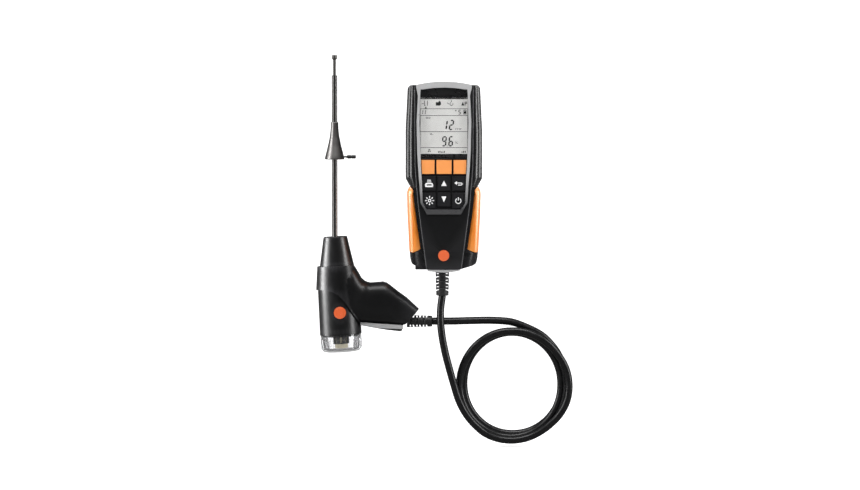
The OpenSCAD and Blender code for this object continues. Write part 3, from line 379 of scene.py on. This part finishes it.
FINISH = {
    "front_shell": "front", "rear_shell": "rear", "left_grip": "orange_rubber",
    "right_grip": "orange_rubber", "bezel": "bezel", "display_window": "window",
    "display_mask": "mask", "lcd_panel": "lcd", "backlight": "white", "keypad_deck": "deck",
    "keypad_mat": "silicone", "main_board": "board", "processor_chip": "chip",
    "usb_socket": "nickel", "infrared_window": "red", "battery_pack": "blue", "gas_pump": "chip",
    "pump_motor": "nickel", "sensor_block": "ivory", "oxygen_cell": "white",
    "carbon_monoxide_cell": "blue", "draught_sensor": "chip", "pump_hose": "silicone",
    "condensate_trap": "trap", "rear_magnets": "nickel", "housing_screws": "screw",
    "body_badge": "badge", "hose_outlet_plate": "grey", "instrument_boot": "rubber",
    "function_key_left": "orange_key", "function_key_middle": "orange_key",
    "function_key_right": "orange_key", "print_key": "key", "light_key": "key", "up_key": "key",
    "down_key": "key", "escape_key": "key", "power_key": "key", "drain_plug": "rubber",
    "hose": "hose", "nose_cone": "handle", "barrel": "handle", "grip_front_half": "handle",
    "grip_rear_half": "handle", "grip_base_cover": "cover", "handle_badge": "badge",
    "probe_tube": "steel", "thermocouple": "tip", "tube_gland": "brass",
    "filter_carrier": "chip", "particle_filter": "felt", "handle_boot": "rubber",
    "grip_screws": "screw", "cap_seal": "rubber", "filter_cap": "cap", "stop_cone": "cone",
    "grip_foot": "rubber", "clamp_screw": "chip", "clamp_knob": "rubber",
}


def smooth(obj, angle=32.0):
    """Smooth shading inside each face, a crisp line where two faces meet at an angle."""
    for p in obj.data.polygons:
        p.use_smooth = True
    w = obj.modifiers.new("weld", "WELD")
    w.merge_threshold = 1e-6
    e = obj.modifiers.new("crease", "EDGE_SPLIT")
    e.split_angle = math.radians(angle)
    n = obj.modifiers.new("normals", "WEIGHTED_NORMAL")
    n.keep_sharp = True
    n.weight = 80


for name, obj in NODES.items():
    key = FINISH.get(name, "panel")
    obj.data.materials.clear()
    obj.data.materials.append(M[key])
    smooth(obj)


# ---------------------------------------------------------------- flat artwork

def finish_mesh(name, bm, material, body):
    me = bpy.data.meshes.new(name)
    bm.normal_update()
    bm.to_mesh(me)
    bm.free()
    o = bpy.data.objects.new(name, me)
    bpy.context.scene.collection.objects.link(o)
    me.materials.append(M[material])
    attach(o, body)
    return o


def artwork(name, shapes, y, material, body, thick=0.04):
    """Outlines in X and Z (mm), raised from depth y (mm) towards the front."""
    bm = bmesh.new()
    for shape in shapes:
        ring = [bm.verts.new((x * MM, (y - thick) * MM, z * MM)) for x, z in shape]
        back = [bm.verts.new((x * MM, y * MM, z * MM)) for x, z in shape]
        n = len(ring)
        bm.faces.new(ring)
        for i in range(n):
            bm.faces.new((ring[i], back[i], back[(i + 1) % n], ring[(i + 1) % n]))
    bmesh.ops.recalc_face_normals(bm, faces=bm.faces)
    return finish_mesh(name, bm, material, body)


def rect(x0, z0, x1, z1):
    return [(x0, z0), (x1, z0), (x1, z1), (x0, z1)]


def bar(x0, z0, x1, z1, w):
    dx, dz = x1 - x0, z1 - z0
    n = math.hypot(dx, dz)
    ox, oz = -dz / n * w / 2, dx / n * w / 2
    return [(x0 + ox, z0 + oz), (x0 - ox, z0 - oz), (x1 - ox, z1 - oz), (x1 + ox, z1 + oz)]


def arc(x, z, r, w, a0, a1, n=20):
    out = []
    for i in range(n):
        p, q = (math.radians(a0 + (a1 - a0) * (i + d) / n) for d in (0, 1))
        out.append([(x + (r + s) * math.cos(t), z + (r + s) * math.sin(t))
                    for s, t in ((-w / 2, p), (w / 2, p), (w / 2, q), (-w / 2, q))])
    return out


SEGMENTS = {"0": "abcdef", "1": "bc", "2": "abged", "3": "abgcd", "4": "fgbc", "5": "afgcd",
            "6": "afgedc", "7": "abc", "8": "abcdefg", "9": "abfgcd"}


def digit(ch, x, z, w, h, t, slant=0.12):
    """Seven-segment figure with its lower left corner at (x, z)."""
    g = t * 0.12
    m = h / 2

    def flat(zc):
        return [(t * 0.5 + g, zc), (t + g, zc + t / 2), (w - t - g, zc + t / 2),
                (w - t * 0.5 - g, zc), (w - t - g, zc - t / 2), (t + g, zc - t / 2)]

    def tall(xc, z0, z1):
        return [(xc, z0 + g), (xc + t / 2, z0 + t / 2 + g), (xc + t / 2, z1 - t / 2 - g),
                (xc, z1 - g), (xc - t / 2, z1 - t / 2 - g), (xc - t / 2, z0 + t / 2 + g)]

    parts = {"a": flat(h - t / 2), "g": flat(m), "d": flat(t / 2),
             "f": tall(t / 2, m, h - t / 2), "b": tall(w - t / 2, m, h - t / 2),
             "e": tall(t / 2, t / 2, m), "c": tall(w - t / 2, t / 2, m)}
    return [[(x + px + pz * slant, z + pz) for px, pz in parts[s]] for s in SEGMENTS[ch]]


lcd_lo, lcd_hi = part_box("lcd_panel")
lcd_y = lcd_lo[1] / MM
ROW_LINES = (71.9, 64.8, 47.8, 31.0)   # heights of the lines between the display's rows
ink = [rect(-24.6, z - 0.26, 24.6, z + 0.26) for z in ROW_LINES]
ink += [rect(-24.9, 25.4, -24.65, 72.0), rect(24.65, 25.4, 24.9, 72.0)]
# flue pipe, sampling box, hand-held and pressure symbols over the menu pointer
ink += [bar(-23.6, 77.3, -20.8, 77.3, 0.5), rect(-20.9, 75.2, -20.3, 80.4),
        rect(-17.6, 75.2, -17.0, 80.4), rect(-20.9, 75.2, -19.4, 75.7)]
ink += [[(-8.6, 75.2), (-4.2, 75.2), (-3.0, 76.6), (-3.4, 79.2), (-5.2, 80.6), (-5.8, 78.7),
         (-8.6, 78.9)]]
ink += [bar(3.3, 78.2, 5.6, 76.7, 0.55)] + arc(7.9, 77.0, 1.6, 0.6, 120, 395, 16)
ink += [rect(7.5, 78.9, 8.1, 81.0)]
ink += [[(18.2, 75.3), (21.4, 75.3), (19.9, 79.3)], rect(21.9, 75.3, 22.6, 79.3),
        rect(22.6, 78.6, 24.4, 79.3), rect(22.6, 76.9, 24.4, 77.5), rect(23.8, 77.5, 24.4, 78.6)]
ink += [[(-20.3, 72.3), (-17.9, 72.3), (-19.1, 74.3)]]
ink += digit("1", -24.6, 65.9, 2.4, 5.0, 0.85) + digit("1", -21.8, 65.9, 2.4, 5.0, 0.85)
ink += [rect(11.9, 69.3, 13.2, 70.5)] + digit("5", 14.8, 65.9, 2.8, 5.0, 0.8)
ink += digit("1", -1.7, 49.3, 4.6, 11.0, 1.6, 0.14) + digit("2", 4.7, 49.3, 4.8, 11.0, 1.45, 0.14)
ink += digit("9", -2.7, 32.2, 4.9, 10.9, 1.4, 0.1) + digit("6", 4.3, 32.2, 4.9, 10.9, 1.4, 0.1)
ink.append(rect(2.9, 32.2, 3.7, 33.0))
# units and soft-key marks, too small to read
for x, z, r in ((-18.0, 62.4, 0.85), (-15.3, 62.4, 0.85), (-13.6, 45.3, 0.8)):
    ink += arc(x, z, r, 0.42, 0, 360, 14)
ink += [bar(-12.3, 44.6, -11.2, 45.0, 0.4)]
for x in (12.4, 14.4, 16.4, 17.7):
    ink += [rect(x - 0.25, 49.7, x + 0.2, 51.2), rect(x - 0.25, 50.8, x + 0.9, 51.2)]
ink += [bar(12.4, 35.2, 14.0, 37.2, 0.4), rect(12.0, 36.6, 12.7, 37.3), rect(13.8, 35.1, 14.5, 35.8)]
ink += [[(-16.9, 28.2), (-14.1, 28.2), (-15.5, 29.7)], rect(-16.9, 26.4, -15.9, 27.6),
        rect(-15.1, 26.4, -14.1, 27.6)]
for i, h in enumerate((1.6, 2.0, 1.3, 1.2, 1.9)):
    ink.append(rect(-6.2 + i * 1.55, 25.6, -5.3 + i * 1.55, 25.6 + h))
for i, h in enumerate((1.3, 1.9, 1.9)):
    ink.append(rect(18.6 + i * 1.7, 25.6, 19.5 + i * 1.7, 25.6 + h))
# battery
ink += [rect(20.6, 66.0, 23.6, 66.5), rect(20.6, 70.0, 23.6, 70.5), rect(20.6, 66.0, 21.1, 70.5),
        rect(23.1, 66.0, 23.6, 70.5), rect(21.4, 70.5, 22.8, 71.0), rect(21.1, 66.9, 23.1, 69.4)]
artwork("lcd_figures", ink, lcd_y - 0.01, "ink", "instrument")


# ---------------------------------------------------------------- key symbols

def key_centre(node):
    lo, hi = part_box(node)
    return (lo[0] + hi[0]) / 2 / MM, (lo[2] + hi[2]) / 2 / MM, lo[1] / MM


def symbol(node, shapes, name):
    x, z, y = key_centre(node)
    moved = [[(x + px, z + pz) for px, pz in s] for s in shapes]
    artwork(name, moved, y + 0.01, "print_white", node, 0.05)


symbol("up_key", [[(-2.9, -2.6), (2.9, -2.6), (0, 3.1)]], "up_symbol")
symbol("down_key", [[(-2.6, 3.2), (0, -3.0), (2.6, 3.2)]], "down_symbol")
symbol("light_key", arc(0, 0, 1.4, 0.9, 0, 360, 24) + [
    bar(3.0 * math.cos(a), 3.0 * math.sin(a), 4.8 * math.cos(a), 4.8 * math.sin(a), 1.0)
    for a in [math.radians(45 * i) for i in range(8)]], "light_symbol")
symbol("power_key", arc(0, -0.3, 2.8, 0.9, 125, 415, 26) + [rect(-0.45, -0.1, 0.45, 3.6)],
       "power_symbol")
symbol("print_key", [
    rect(-4.2, -3.9, 4.2, -2.3), rect(-4.2, -2.3, -2.6, -0.9), rect(2.6, -2.3, 4.2, -0.9),
    [(-4.2, -0.9), (4.2, -0.9), (3.4, 0.5), (-3.4, 0.5)], rect(-2.3, 1.1, 2.3, 1.8),
    rect(-2.0, 2.4, 2.0, 3.0), rect(-1.8, 3.4, 1.8, 3.9)], "print_symbol")
symbol("escape_key", [[(-4.6, 0.4), (-2.0, 2.4), (-2.0, 0.9), (2.4, 0.9), (2.4, 0.0), (-2.0, 0.0),
                       (-2.0, -1.6)]] + arc(2.4, -0.65, 1.1, 0.9, -90, 90, 10)
       + [rect(-0.8, -2.2, 2.4, -1.3)], "escape_symbol")


# ---------------------------------------------------------------- hose

TURNS = [(180, 7.9), (195, 4.8), (205, 3.6), (221, 2.5), (240, 2.8), (270, 2), (295, 1.8),
         (310, 2.2), (325, 4.1), (341, 6.3), (367, 6.1), (395, 2.5), (420, 1), (450, -0.3),
         (540, 1.6), (630, -0.3), (720, -2.4), (810, -2.3), (900, -3.1), (990, -3), (1050, -1),
         (1080, 1.2), (1103, 3.3), (1125, 3.3), (1150, 4.2)]


def lookup(a, table):
    for (p, q), (r, s) in zip(table, table[1:]):
        if p <= a <= r:
            return q + (s - q) * (a - p) / (r - p)
    return table[-1][1]


def coil(a):
    r = 55.8 + lookup(a, TURNS)
    t = math.radians(a)
    return Vector((72.8 + 0.975 * r * math.cos(t), -31 + 8.2 * (a - 180) / 360,
                   -221.1 + 1.025 * r * math.sin(t)))


HOSE = [Vector(p) for p in ((-1.6, -26, -113.3), (-1.6, -26, -125.3), (-3.3, -28.3, -139),
                            (-3.6, -31, -151.3), (-2.5, -32.3, -164.8), (-0.3, -32.6, -178.4),
                            (2.7, -32.4, -191.9), (6.3, -31.8, -205.5))]
HOSE += [coil(a) for a in range(180, 1146, 15)]
HOSE += [Vector(p) for p in ((82.4, -10.5, -158.9), (69, -12.2, -155), (50, -15, -153.6),
                             (29.4, -18.5, -153.6), (8, -21.2, -153.9), (-13.3, -22, -153.9),
                             (-25.3, -22, -153.9))]


def spline(points, steps):
    out = []
    for i in range(1, len(points) - 2):
        a, b, c, d = points[i - 1:i + 3]
        for k in range(steps):
            t = k / steps
            out.append(0.5 * (2 * b + (c - a) * t + (2 * a - 5 * b + 4 * c - d) * t * t
                              + (3 * b - a - 3 * c + d) * t ** 3))
    out.append(points[-2])
    return out


def sweep(name, line, radius, sides, material, body, end_radius=None):
    """Round bar along a line; its last ring can be slimmer, to turn freely in a seat."""
    bm = bmesh.new()
    rings = []
    n = len(line)
    for i, p in enumerate(line):
        d = (line[min(i + 1, n - 1)] - line[max(i - 1, 0)]).normalized()
        u = d.cross(Vector((0, 1, 0))).normalized()
        v = d.cross(u)
        r = end_radius if end_radius and i == n - 1 else radius
        rings.append([bm.verts.new((p + r * (u * math.cos(2 * math.pi * k / sides)
                                             + v * math.sin(2 * math.pi * k / sides))) * MM)
                      for k in range(sides)])
    for a, b in zip(rings, rings[1:]):
        for k in range(sides):
            f = bm.faces.new((a[k], a[(k + 1) % sides], b[(k + 1) % sides], b[k]))
            f.smooth = True
    for ring in (rings[0], rings[-1]):
        bm.faces.new(ring)
    bmesh.ops.recalc_face_normals(bm, faces=bm.faces)
    return finish_mesh(name, bm, material, body)


HOSE_R = 3.93
HOSE_END_R = 3.6   # inside the ball seat of the handle's boot
tube = sweep("twin_hose", spline(HOSE, 6), HOSE_R, 32, "hose", "hose", HOSE_END_R)
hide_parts("hose")


# Fine grey bead along each edge of the centre panel: painted highlight, standing in for the light
# caught on the panel's raised edge
PANEL_Y = -42.8
PANEL = [(-97, 18.6), (-94, 18.9), (-62, 23.2), (-29, 27.4), (11, 30.6), (50, 30.8), (94, 31.0)]
for side, label in ((-1, "left"), (1, "right")):
    line = [Vector((side * (lookup(z, PANEL) - 0.2), PANEL_Y, z)) for z in range(-97, 94, 3)]
    sweep("panel_edge_" + label, line, 0.42, 10, "edge", "instrument")


# ---------------------------------------------------------------- studio

def floor_material():
    """Pale floor: lit by the lamps, and lifted to the paper white of a studio sweep for the camera."""
    m, nt, bsdf, out = new_material("studio_floor")
    tc = add(nt, "ShaderNodeTexCoord").outputs["Object"]
    col = blend_colour(nt, noise(nt, tc, 3.0), (0.93, 0.93, 0.93), (0.9, 0.9, 0.9))
    nt.links.new(col, bsdf.inputs["Base Color"])
    bsdf.inputs["Roughness"].default_value = 0.9
    bsdf.inputs["Emission Color"].default_value = (1, 1, 1, 1)
    bsdf.inputs["Emission Strength"].default_value = 0.72
    grey = add(nt, "ShaderNodeBsdfDiffuse")
    grey.inputs["Color"].default_value = (0.22, 0.22, 0.22, 1)
    seen = add(nt, "ShaderNodeLightPath")
    paper = mix_shaders(nt, seen.outputs["Is Camera Ray"], grey.outputs[0], bsdf.outputs[0])
    # A camera behind the sweep looks through it
    geo = add(nt, "ShaderNodeNewGeometry")
    behind = product(nt, geo.outputs["Backfacing"], seen.outputs["Is Camera Ray"])
    free = add(nt, "ShaderNodeBsdfTransparent")
    nt.links.new(mix_shaders(nt, behind, paper, free.outputs[0]), out.inputs[0])
    return m


SWEEP_FRONT, SWEEP_BACK, SWEEP_TOP = -3.0, 0.9, 3.0   # metres: floor's ends, wall's height
SWEEP_R, SWEEP_HALF = 0.6, 4                          # the curve's radius, half the width
STEPS = 12
lo, hi = CAD_BOX
mid = (lo + hi) / 2
bm = bmesh.new()
floor_z = lo.z - 0.004
profile = [(SWEEP_FRONT, floor_z), (SWEEP_BACK, floor_z)]
for i in range(1, STEPS + 1):
    a = math.radians(90 * i / STEPS)
    profile.append((SWEEP_BACK + SWEEP_R * math.sin(a), floor_z + SWEEP_R * (1 - math.cos(a))))
profile.append((SWEEP_BACK + SWEEP_R, SWEEP_TOP))
rows = [[bm.verts.new((x, y, z)) for y, z in profile] for x in (-SWEEP_HALF, SWEEP_HALF)]
for i in range(len(profile) - 1):
    bm.faces.new((rows[0][i], rows[1][i], rows[1][i + 1], rows[0][i + 1])).smooth = True
me = bpy.data.meshes.new("studio_floor")
bm.to_mesh(me)
bm.free()
floor = bpy.data.objects.new("studio_floor", me)
bpy.context.scene.collection.objects.link(floor)
me.materials.append(floor_material())


def area(name, place, aim, size, power, shape_y=None, colour=(1, 1, 1)):
    light = bpy.data.lights.new(name, "AREA")
    light.energy = power
    light.color = colour
    light.size = size
    if shape_y:
        light.shape = "RECTANGLE"
        light.size_y = shape_y
    o = bpy.data.objects.new(name, light)
    bpy.context.scene.collection.objects.link(o)
    o.location = place
    o.rotation_mode = "QUATERNION"
    o.rotation_quaternion = (Vector(aim) - Vector(place)).to_track_quat("-Z", "Y")
    return o


area("key_left", (-1.25, -0.45, 0.35), mid, 0.45, 15, 1.3)
key = area("key_right", (1.25, -0.45, 0.35), mid, 0.45, 15, 1.3)
shaded = bpy.data.collections.new("dark_right_flank")
shaded.objects.link(NODES["stop_cone"])
shaded.collection_objects[0].light_linking.link_state = "EXCLUDE"
key.light_linking.receiver_collection = shaded
area("top", (0, -0.75, 1.45), mid, 1.4, 22, 0.7)

# Lamps behind draw the flanks of the housing and of its grips only
for label, power, names in (("shell", 3, ("front_shell", "rear_shell")),
                            ("grip", 11, ("left_grip", "right_grip"))):
    flanks = bpy.data.collections.new("flanks_" + label)
    for name in names:
        flanks.objects.link(NODES[name])
    for side, x in (("left", -0.9), ("right", 0.9)):
        rim = area("rim_%s_%s" % (label, side), (x, 0.55, 0.3), mid, 0.3, power, 1.0)
        rim.light_linking.receiver_collection = flanks

# Strips beside the handle, which shine along the round flanks of its body only
for label, place, power, names in (
        ("left", (-1.3, -0.08, 0.0), 60, ("nose_cone", "barrel", "grip_front_half", "grip_rear_half")),
        ("right", (1.25, -0.4, 0.2), 17, ("nose_cone", "barrel"))):
    body = bpy.data.collections.new("handle_flank_" + label)
    for name in names:
        body.objects.link(NODES[name])
    strip = area("handle_strip_" + label, place, (-0.11, -0.022, -0.15), 0.45, power, 1.3)
    strip.light_linking.receiver_collection = body

# Light bounced back from the pale floor in front; it is too broad to show as a reflection
bounce = area("bounce", (0, -2.0, -0.28), mid, 1.4, 10, 0.4)
bounce.visible_glossy = False

world = bpy.data.worlds.new("studio")
bpy.context.scene.world = world
world.use_nodes = True
wt = world.node_tree
bg = wt.nodes["Background"]
bg.inputs["Color"].default_value = (1, 1, 1, 1)
way = add(wt, "ShaderNodeTexCoord").outputs["Generated"]
parts = add(wt, "ShaderNodeSeparateXYZ")
wt.links.new(way, parts.inputs[0])
fill = remap(wt, parts.outputs["Y"], 0.02, 0.5, -0.75, 0.6)
shine = remap(wt, parts.outputs["Z"], 0.02, 0.3, -0.3, 0.9)
kind = add(wt, "ShaderNodeLightPath")
lighting = mix_values(wt, kind.outputs["Is Glossy Ray"], fill, shine)
wt.links.new(mix_values(wt, kind.outputs["Is Camera Ray"], lighting, 1.0), bg.inputs["Strength"])

scene = bpy.context.scene
scene.view_settings.view_transform = "Standard"
scene.view_settings.look = "None"

cam_data = bpy.data.cameras.new("camera")
cam = bpy.data.objects.new("camera", cam_data)
scene.collection.objects.link(cam)
scene.camera = cam
DIST = 3.0
ELEVATION = math.radians(3)
WIDE = 0.914      # metres across the picture at the object
SENSOR = 36
cam_data.sensor_width = SENSOR
cam_data.lens = SENSOR * DIST / WIDE
target = Vector((-0.0147, -0.022, -0.0728))
back = Vector((0, -math.cos(ELEVATION), math.sin(ELEVATION)))
cam.location = target + back * DIST
cam.rotation_mode = "QUATERNION"
cam.rotation_quaternion = (-back).to_track_quat("-Z", "Y")
cam_data.clip_start, cam_data.clip_end = 0.05, 50
